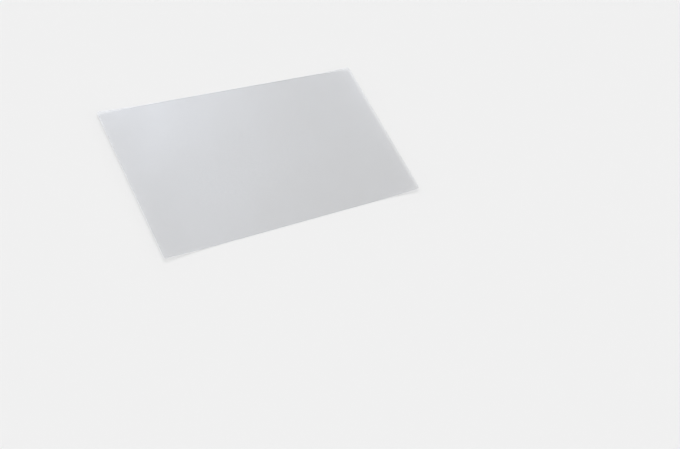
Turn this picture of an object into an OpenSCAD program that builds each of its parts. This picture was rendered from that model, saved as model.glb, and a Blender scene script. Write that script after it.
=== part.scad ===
// Anti-glare filter of the 15.6 inch size.
// It is one sheet of clear film with a matt face, die-cut to a rectangle with small round corners. It
// lies with the matt face up, as it comes to rest on a table: flat along its middle, with both short
// ends lifted a little by the curl that the film kept from its roll.
// All sizes are in millimetres. X runs along the sheet and Y across it. The origin is on the table,
// under the middle of the sheet, and Z points up.

/* [Sheet] */
// Length of the sheet when it is held flat
sheet_l = 345; // [150:1:600]
// Width of the sheet
sheet_w = 194; // [90:1:400]
// Thickness of the film
sheet_t = 0.3; // [0.1:0.05:1]
// Radius of the four corners
corner_r = 2; // [0.5:0.5:20]

/* [Curl] */
// Radius that the film would curl to if it had no weight
curl_r = 700; // [300:10:5000]
// Stiffness of the film's material, its Young's modulus, in N/mm2
film_modulus = 4500; // [1500:100:6000]
// Poisson's ratio of the film's material
film_poisson = 0.36; // [0.2:0.01:0.45]
// Density of the film's material, in g/cm3
film_density = 1.38; // [0.9:0.01:1.6]
// Number of short straight steps that draw the curve of each lifted end
lift_steps = 12; // [8:1:60]

/* [Hidden] */

gravity = 9.81;
kg_per_mm3 = film_density * 1e-6;
degrees = 180 / PI;
corner_facets = 48;
// How far the film is drawn past its cut edges before it is cut
cut_over = 1;

// Weight of 1 mm2 of film, in N, and bending stiffness of a strip 1 mm wide, in N mm
film_weight = kg_per_mm3 * gravity * sheet_t;
film_stiffness = film_modulus * pow(sheet_t, 3) / (12 * (1 - pow(film_poisson, 2)));

// The curl lifts each end as far in as the weight of the lifted film needs to bend it straight again.
// A short or strongly curled sheet lifts all the way from its middle line.
free_lift = sqrt(2 * film_stiffness / (film_weight * curl_r));
lift_l = min(free_lift, sheet_l / 2);
lift_step = lift_l / lift_steps;
flat_half = sheet_l / 2 - lift_l;

// Slope of the film, in degrees, at distance s along it from where it leaves the table: the curl
// turns it up, and the weight of all the film beyond each point turns it down.
function slope(s) =
    degrees * (s / curl_r - film_weight * (pow(lift_l, 3) - pow(lift_l - s, 3)) / (6 * film_stiffness));

function step_slope(i) = slope((i + 0.5) * lift_step);
end_slope = step_slope(lift_steps - 1);

function along(angle) = [cos(angle), sin(angle)];
function across(angle) = [-sin(angle), cos(angle)];

// The middle of the film's thickness along the lifted end, as [x, z]. Each step keeps its length, so
// the sheet is as long as when it is held flat.
lift_line = [
    for (i = 0, p = [flat_half, sheet_t / 2];
         i <= lift_steps;
         p = p + lift_step * along(step_slope(i)), i = i + 1)
        p
];
end_point = lift_line[lift_steps];

// One face of the uncut film along the lifted end: side is -1 for the lower face, 1 for the upper
function face_line(side, first = 0) = [
    for (i = [first : lift_steps])
        lift_line[i]
        + side * sheet_t / 2 * across(slope(i * lift_step))
        + (i < lift_steps ? 0 : cut_over) * along(end_slope)
];
function mirrored(points) = [for (p = points) [-p[0], p[1]]];
function reversed(points) = [for (i = [len(points) - 1 : -1 : 0]) points[i]];

// Side view of the uncut film. With no flat stretch, both ends leave the table at one place, which
// is drawn once.
module side_profile() {
    left_first = flat_half > 0 ? 0 : 1;
    polygon(concat(
        face_line(-1),
        reversed(face_line(1)),
        mirrored(face_line(1, left_first)),
        reversed(mirrored(face_line(-1, left_first)))
    ));
}

// Plan of what the die cuts off one end, round both of its corners. Its y axis joins the centres of
// the two corner arcs.
module end_offcut_plan() {
    centre_y = sheet_w / 2 - corner_r;
    difference() {
        translate([0, -sheet_w / 2 - cut_over])
            square([corner_r + 2 * cut_over, sheet_w + 2 * cut_over]);
        translate([0, -centre_y])
            square([corner_r, 2 * centre_y]);
        for (side = [-1, 1])
            translate([0, side * centre_y])
                circle(corner_r, $fn = corner_facets);
    }
}

// The same as a solid, square to the film where it ends
module end_offcut() {
    height = 2 * (corner_r + sheet_t);
    translate([end_point[0], 0, end_point[1]])
        rotate([0, -end_slope, 0])
            translate([-corner_r, 0, -height / 2])
                linear_extrude(height)
                    end_offcut_plan();
}

module filter_sheet() {
    color([0.92, 0.94, 0.94, 0.6])
        difference() {
            rotate([90, 0, 0])
                linear_extrude(sheet_w, center = true)
                    side_profile();
            for (end = [0, 1])
                mirror([end, 0, 0])
                    end_offcut();
        }
}

filter_sheet();
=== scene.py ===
"""An anti-glare filter: one sheet of clear film with a matt face, die-cut with small round corners.

It rests on a pale table with the matt face up. Its weight holds the middle flat, and both short ends
lift a little, because the film kept some curl from its roll. All sizes are in metres.
"""
import math

import bpy
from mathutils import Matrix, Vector


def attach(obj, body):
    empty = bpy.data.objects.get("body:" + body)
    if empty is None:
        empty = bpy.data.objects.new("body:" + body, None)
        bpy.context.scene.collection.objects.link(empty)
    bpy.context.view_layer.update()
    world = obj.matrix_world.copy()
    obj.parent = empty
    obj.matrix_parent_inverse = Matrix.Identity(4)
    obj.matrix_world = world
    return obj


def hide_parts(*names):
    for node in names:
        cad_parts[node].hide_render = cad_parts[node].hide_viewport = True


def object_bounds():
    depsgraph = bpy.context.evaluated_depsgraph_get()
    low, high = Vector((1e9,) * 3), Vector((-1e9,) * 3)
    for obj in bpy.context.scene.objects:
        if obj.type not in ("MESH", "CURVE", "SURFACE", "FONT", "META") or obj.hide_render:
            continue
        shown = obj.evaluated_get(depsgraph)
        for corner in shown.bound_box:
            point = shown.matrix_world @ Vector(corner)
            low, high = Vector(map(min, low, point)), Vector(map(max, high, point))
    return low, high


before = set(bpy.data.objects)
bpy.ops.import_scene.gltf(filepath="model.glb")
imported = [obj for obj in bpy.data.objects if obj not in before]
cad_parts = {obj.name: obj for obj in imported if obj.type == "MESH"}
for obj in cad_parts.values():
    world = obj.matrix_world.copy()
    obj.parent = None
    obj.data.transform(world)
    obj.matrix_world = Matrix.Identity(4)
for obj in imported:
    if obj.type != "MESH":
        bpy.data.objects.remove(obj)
cad_low, cad_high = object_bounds()

# The cut sheet, and how long it is as it lies
SHEET_LENGTH = 0.345
SHEET_WIDTH = cad_high.y - cad_low.y
LYING_LENGTH = cad_high.x - cad_low.x
FILM_THICKNESS = 0.0003
CORNER_RADIUS = 0.002
CORNER_SEGMENTS = 10
EDGE_ROUNDING = 0.00004

# The curl: the radius that the film would take if it had no weight, and what its weight works against
CURL_RADIUS = 0.7
FILM_MODULUS = 4.5e9
FILM_POISSON = 0.36
FILM_DENSITY = 1380
GRAVITY = 9.81
BENDS_PER_END = 36
STRIPS_ACROSS = 12

# The finish of each face. Most of the light passes straight through: a face stops only the share that
# it mirrors and the share that its milkiness scatters, and both together are its alpha. The faces are
# mostly metallic, because what they stop is a blurred reflection and not paint. A spread is how much a
# value varies over the film.
FILM_IOR = 1.5
MOST_MIRRORED = 0.6
MATT_COLOR = (0.21, 0.226, 0.27, 1)
MATT_METAL = 0.8
MATT_ROUGHNESS = 0.34
MATT_ROUGHNESS_SPREAD = 0.06
MATT_MILK = 0.11
MATT_MILK_SPREAD = 0.154
BACK_COLOR = (0.46, 0.50, 0.56, 1)
BACK_METAL = 1.0
BACK_ROUGHNESS = 0.35
BACK_ROUGHNESS_SPREAD = 0.1
BACK_MILK = 0.02
# The die presses a narrow strip along the cut, which turns milkier than the rest. The strip is also given
# a lighter colour that stands in for the glint along the cut: partly real milkiness, partly a painted
# highlight.
MILKY_GLINT_WIDTH = 0.0005
MILKY_GLINT_COLOR = (0.55, 0.58, 0.63, 1)
MILKY_GLINT_MILK = 0.3
# The cut edge is whitish: partly the real milkiness of the torn cut, partly a painted glint of the light
# that the film carries to it.
CUT_MILK_AND_GLINT_COLOR = (0.78, 0.81, 0.85, 1)
CUT_ROUGHNESS = 0.45
CUT_ROUGHNESS_SPREAD = 0.3
CUT_MILK = 0.85

# How large the unevenness is: the grain of the matt face, the patches where it is a little duller, the
# slow waves of the whole film and the tears of its cut edge
GRAIN_SIZE = 0.0006
GRAIN_DEPTH = 0.00001
PATCH_SIZE = 0.02
WAVE_SIZE = 0.11
WAVE_DEPTH = 0.0012
TEAR_SIZE = 0.0004
TEAR_DEPTH = 0.00002

FLOOR_GAP = 0.00005
FLOOR_SIZE = 60
FLOOR_COLOR = (0.86, 0.86, 0.86, 1)

# The surround is as bright as the floor up to one height, and dims towards another. A height is the Z
# of a direction, 0 at the horizon and 1 overhead.
SURROUND_LIGHT = 0.88
OVERHEAD_LIGHT = 0.2
DIMS_FROM = 0.15
DIMMEST_FROM = 0.75

LENS = 48.52
SENSOR_WIDTH = 36
CAMERA_PLACE = (-0.52, -0.4676, 0.8338)
CAMERA_TURN = (33.122, -21.084, -29.005)

# The colour sockets of a Mix node, by their place among its inputs and outputs
FIRST_COLOR, SECOND_COLOR, MIXED_COLOR = 6, 7, 2


class Graph:
    """The nodes of one material or world, laid out from left to right as they are made."""

    def __init__(self, owner):
        owner.use_nodes = True
        self.tree = owner.node_tree
        self.tree.nodes.clear()

    def node(self, kind, settings=None, *values, **inputs):
        """A node of one type with its settings. Values go to its sockets in order, inputs by name."""
        made = self.tree.nodes.new(kind)
        made.location.x = 220 * len(self.tree.nodes)
        for name, setting in (settings or {}).items():
            setattr(made, name, setting)
        for socket, value in zip(made.inputs, values):
            self.feed(socket, value)
        for name, value in inputs.items():
            self.feed(made.inputs[name.replace("_", " ")], value)
        return made

    def feed(self, socket, value):
        """Sets what a socket holds, or links a node or a value to it."""
        if isinstance(value, bpy.types.Node):
            value = value.outputs[0]
        if isinstance(value, Value):
            value = value.socket
        if isinstance(value, bpy.types.NodeSocket):
            self.tree.links.new(value, socket)
        else:
            socket.default_value = value

    def number(self, node, output=0):
        """What a node gives, as a number to work with."""
        return Value(self, node.outputs[output])


class Value:
    """A socket that gives a number, so that sums of it are written as sums."""

    def __init__(self, graph, socket):
        self.graph = graph
        self.socket = socket

    def maths(self, operation, first, second):
        made = self.graph.node("ShaderNodeMath", {"operation": operation}, first, second)
        return self.graph.number(made)

    def __add__(self, other):
        return self.maths("ADD", self, other)

    def __sub__(self, other):
        return self.maths("SUBTRACT", self, other)

    def __mul__(self, other):
        return self.maths("MULTIPLY", self, other)

    def __pow__(self, other):
        return self.maths("POWER", self, other)

    def __radd__(self, other):
        return self.maths("ADD", other, self)

    def __rsub__(self, other):
        return self.maths("SUBTRACT", other, self)

    def __rmul__(self, other):
        return self.maths("MULTIPLY", other, self)


def new_material(name):
    material = bpy.data.materials.new(name)
    return material, Graph(material)


def clouds(graph, place, size):
    """Soft noise from 0 to 1, whose clouds are about that size."""
    return graph.number(graph.node("ShaderNodeTexNoise", None, place, Scale=1 / size, Detail=1.0))


def uneven(value, spread, noise):
    """A value that soft noise raises in some places and lowers in others."""
    return value + spread * (noise - 0.5)


def blend(graph, share, first, second):
    """The first colour where share is 0, and the second where it is 1."""
    mix = graph.node("ShaderNodeMix", {"data_type": "RGBA"}, share)
    graph.feed(mix.inputs[FIRST_COLOR], first)
    graph.feed(mix.inputs[SECOND_COLOR], second)
    return mix.outputs[MIXED_COLOR]


def mirrored(graph):
    """The share of the light that one face of the film mirrors, more of it where it is seen edge on."""
    # With this blend, Facing is 1 less the cosine of the angle that the face is seen at
    edge_on = graph.number(graph.node("ShaderNodeLayerWeight", Blend=0.5), "Facing")
    head_on = ((FILM_IOR - 1) / (FILM_IOR + 1)) ** 2
    return head_on + (MOST_MIRRORED - head_on) * edge_on**5


def milky_glint_strip(graph, place):
    """1 at the cut of the sheet, falling to 0 over the width of the strip that the die presses, which
    also carries the painted highlight of the cut.
    """
    corner_centre = (LYING_LENGTH / 2 - CORNER_RADIUS, SHEET_WIDTH / 2 - CORNER_RADIUS, 1)
    folded = graph.node("ShaderNodeVectorMath", {"operation": "ABSOLUTE"}, place)
    beyond = graph.node("ShaderNodeVectorMath", {"operation": "SUBTRACT"}, folded, corner_centre)
    outward = graph.node("ShaderNodeVectorMath", {"operation": "MAXIMUM"}, beyond, (0, 0, 0))
    reach = graph.node("ShaderNodeVectorMath", {"operation": "LENGTH"}, outward)
    strip = graph.node(
        "ShaderNodeMapRange",
        {"interpolation_type": "SMOOTHSTEP"},
        reach.outputs["Value"],
        From_Min=CORNER_RADIUS - MILKY_GLINT_WIDTH,
        From_Max=CORNER_RADIUS,
    )
    return graph.number(strip)


def waves(graph, place):
    """The slow waves of a film that doesn't lie quite flat, as a normal."""
    return graph.node("ShaderNodeBump", Distance=WAVE_DEPTH, Height=clouds(graph, place, WAVE_SIZE))


def matt_face():
    """The upper face: clear film with a fine matt grain, which blurs what it mirrors and looks milky."""
    material, graph = new_material("matt_face")
    place = graph.node("ShaderNodeTexCoord").outputs["Object"]
    # The strip along the cut is milkier and lighter: partly real milkiness, partly a painted highlight of
    # the cut edge.
    milky_glint = milky_glint_strip(graph, place)
    patches = clouds(graph, place, PATCH_SIZE)
    grain = clouds(graph, place, GRAIN_SIZE)
    grainy = graph.node("ShaderNodeBump", Distance=GRAIN_DEPTH, Height=grain, Normal=waves(graph, place))
    milk = uneven(MATT_MILK, MATT_MILK_SPREAD, grain) + MILKY_GLINT_MILK * milky_glint
    film = graph.node(
        "ShaderNodeBsdfPrincipled",
        Base_Color=blend(graph, milky_glint, MATT_COLOR, MILKY_GLINT_COLOR),
        Metallic=MATT_METAL,
        Roughness=uneven(MATT_ROUGHNESS, MATT_ROUGHNESS_SPREAD, patches),
        Normal=grainy,
        Alpha=mirrored(graph) + milk,
    )
    graph.node("ShaderNodeOutputMaterial", Surface=film)
    return material


def plain_back():
    """The lower face: the same clear film without the grain."""
    material, graph = new_material("plain_back")
    place = graph.node("ShaderNodeTexCoord").outputs["Object"]
    patches = clouds(graph, place, PATCH_SIZE)
    film = graph.node(
        "ShaderNodeBsdfPrincipled",
        Base_Color=BACK_COLOR,
        Metallic=BACK_METAL,
        Roughness=uneven(BACK_ROUGHNESS, BACK_ROUGHNESS_SPREAD, patches),
        Normal=waves(graph, place),
        Alpha=mirrored(graph) + BACK_MILK,
    )
    graph.node("ShaderNodeOutputMaterial", Surface=film)
    return material


def cut_edge():
    """The narrow edge all round, which the die leaves very slightly torn and so milky. Its whitish colour
    also stands in for the light that the film carries to its cut: a painted glint.
    """
    material, graph = new_material("cut_edge")
    place = graph.node("ShaderNodeTexCoord").outputs["Object"]
    torn = clouds(graph, place, TEAR_SIZE)
    film = graph.node(
        "ShaderNodeBsdfPrincipled",
        Base_Color=CUT_MILK_AND_GLINT_COLOR,
        Roughness=uneven(CUT_ROUGHNESS, CUT_ROUGHNESS_SPREAD, torn),
        Normal=graph.node("ShaderNodeBump", Distance=TEAR_DEPTH, Height=torn),
        Alpha=CUT_MILK,
    )
    graph.node("ShaderNodeOutputMaterial", Surface=film)
    return material


def table_top():
    material, graph = new_material("table_top")
    paint = graph.node("ShaderNodeBsdfDiffuse", Color=FLOOR_COLOR)
    graph.node("ShaderNodeOutputMaterial", Surface=paint)
    return material


def pick(film, wanted):
    """Selects the vertices of the film whose place is wanted, and leaves edit mode on."""
    bpy.ops.object.mode_set(mode="EDIT")
    bpy.ops.mesh.select_mode(type="VERT")
    bpy.ops.mesh.select_all(action="DESELECT")
    bpy.ops.object.mode_set(mode="OBJECT")
    for vertex in film.data.vertices:
        vertex.select = wanted(vertex.co)
    bpy.ops.object.mode_set(mode="EDIT")


def crease(place, normal):
    """Adds one straight line right across the sheet, for it to bend at."""
    bpy.ops.mesh.select_all(action="SELECT")
    bpy.ops.mesh.bisect(plane_co=place, plane_no=normal)


def die_cut_film():
    """A flat sheet with rounded corners, where the middle of the film's thickness will be."""
    bpy.ops.object.select_all(action="DESELECT")
    bpy.ops.mesh.primitive_plane_add(size=1, location=(0, 0, FILM_THICKNESS / 2))
    film = bpy.context.object
    film.name = film.data.name = "matt_film"
    bpy.ops.object.mode_set(mode="EDIT")
    bpy.ops.mesh.select_all(action="SELECT")
    bpy.ops.transform.resize(value=(SHEET_LENGTH, SHEET_WIDTH, 1))
    bpy.ops.mesh.bevel(offset=CORNER_RADIUS, segments=CORNER_SEGMENTS, affect="VERTICES")
    bpy.ops.object.mode_set(mode="OBJECT")
    bpy.ops.object.transform_apply(location=True, rotation=True, scale=True)
    return film


film_weight = FILM_DENSITY * GRAVITY * FILM_THICKNESS
film_stiffness = FILM_MODULUS * FILM_THICKNESS**3 / (12 * (1 - FILM_POISSON**2))
# The weight bends the lifted end straight again over this length
lift_length = math.sqrt(2 * film_stiffness / (film_weight * CURL_RADIUS))
flat_half = SHEET_LENGTH / 2 - lift_length
bend_step = lift_length / BENDS_PER_END


def slope(lifted):
    """Slope of the film, in radians, at a distance along it from where it leaves the table."""
    weighed_down = lift_length**3 - (lift_length - lifted) ** 3
    return lifted / CURL_RADIUS - film_weight * weighed_down / (6 * film_stiffness)


def turn_at(bend):
    """How far the film turns at one bend line, so that each stretch has the slope of its middle."""
    before = slope((bend - 0.5) * bend_step) if bend else 0
    return slope((bend + 0.5) * bend_step) - before


def curl_ends(film):
    """Turns the film up at each bend line of both ends."""
    bpy.ops.object.mode_set(mode="EDIT")
    for strip in range(1, STRIPS_ACROSS):
        crease((0, SHEET_WIDTH * (strip / STRIPS_ACROSS - 0.5), 0), (0, 1, 0))
    for side in (-1, 1):
        for bend in range(BENDS_PER_END):
            crease((side * (flat_half + bend * bend_step), 0, 0), (1, 0, 0))
    # The outermost bend comes first, so that every other line still lies where it was made
    for side in (-1, 1):
        for bend in reversed(range(BENDS_PER_END)):
            line = flat_half + bend * bend_step
            pick(film, lambda place: side * place.x > line + bend_step / 4)
            bpy.ops.transform.rotate(
                value=side * turn_at(bend),
                orient_axis="Y",
                center_override=(side * line, 0, FILM_THICKNESS / 2),
            )
    bpy.ops.object.mode_set(mode="OBJECT")


def give_thickness(film):
    """Makes the bent sheet a closed film with two faces and a cut edge, very slightly rounded."""
    for material in (matt_face(), plain_back(), cut_edge()):
        film.data.materials.append(material)
    solid = film.modifiers.new("film_thickness", "SOLIDIFY")
    solid.thickness = FILM_THICKNESS
    solid.offset = 0
    solid.use_even_offset = True
    solid.use_quality_normals = True
    solid.material_offset = 1
    solid.material_offset_rim = 2
    bpy.ops.object.modifier_apply(modifier=solid.name)
    rounding = film.modifiers.new("edge_rounding", "BEVEL")
    rounding.width = EDGE_ROUNDING
    rounding.segments = 2
    rounding.limit_method = "ANGLE"
    rounding.angle_limit = math.radians(60)
    rounding.material = 2
    bpy.ops.object.modifier_apply(modifier=rounding.name)
    bpy.ops.object.shade_smooth_by_angle(angle=math.radians(20))


def lay_table():
    """A wide pale table top, just under the film so that the two faces don't share one plane."""
    bpy.ops.object.select_all(action="DESELECT")
    bpy.ops.mesh.primitive_plane_add(size=FLOOR_SIZE, location=(0, 0, -FLOOR_GAP))
    table = bpy.context.object
    table.name = "table_top"
    table.data.materials.append(table_top())


def soft_light(name, strength, spread, towards):
    """A far, wide light: how strong it is, how many degrees it spans, and which way it lies."""
    data = bpy.data.lights.new(name, "SUN")
    data.energy = strength
    data.angle = math.radians(spread)
    lamp = bpy.data.objects.new(name, data)
    bpy.context.scene.collection.objects.link(lamp)
    lamp.rotation_euler = Vector(towards).to_track_quat("Z", "Y").to_euler()


def light_studio():
    """A pale surround that is dimmer overhead, a soft key behind the sheet, and a weak fill each side."""
    world = bpy.data.worlds.new("studio")
    bpy.context.scene.world = world
    graph = Graph(world)
    way = graph.node("ShaderNodeTexCoord").outputs["Generated"]
    up = graph.node("ShaderNodeSeparateXYZ", None, way).outputs["Z"]
    surround = graph.node(
        "ShaderNodeMapRange",
        {"interpolation_type": "SMOOTHSTEP"},
        up,
        From_Min=DIMS_FROM,
        From_Max=DIMMEST_FROM,
        To_Min=SURROUND_LIGHT,
        To_Max=OVERHEAD_LIGHT,
    )
    light = graph.node("ShaderNodeBackground", Color=(1, 1, 1, 1), Strength=surround)
    graph.node("ShaderNodeOutputWorld", Surface=light)
    soft_light("key", strength=2.45, spread=35, towards=(0.20, 0.70, 0.68))
    soft_light("left_fill", strength=0.45, spread=45, towards=(-0.75, 0.45, 0.48))
    soft_light("right_fill", strength=0.45, spread=45, towards=(0.75, -0.45, 0.45))


def set_camera():
    """The camera that sees the sheet's corners where the photograph has them."""
    data = bpy.data.cameras.new("camera")
    data.lens = LENS
    data.sensor_width = SENSOR_WIDTH
    camera = bpy.data.objects.new("camera", data)
    bpy.context.scene.collection.objects.link(camera)
    camera.location = CAMERA_PLACE
    camera.rotation_euler = [math.radians(angle) for angle in CAMERA_TURN]
    bpy.context.scene.camera = camera


bpy.context.scene.view_settings.view_transform = "Standard"
set_camera()
light_studio()
lay_table()
film = die_cut_film()
curl_ends(film)
give_thickness(film)
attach(film, "root")
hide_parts("filter_sheet")
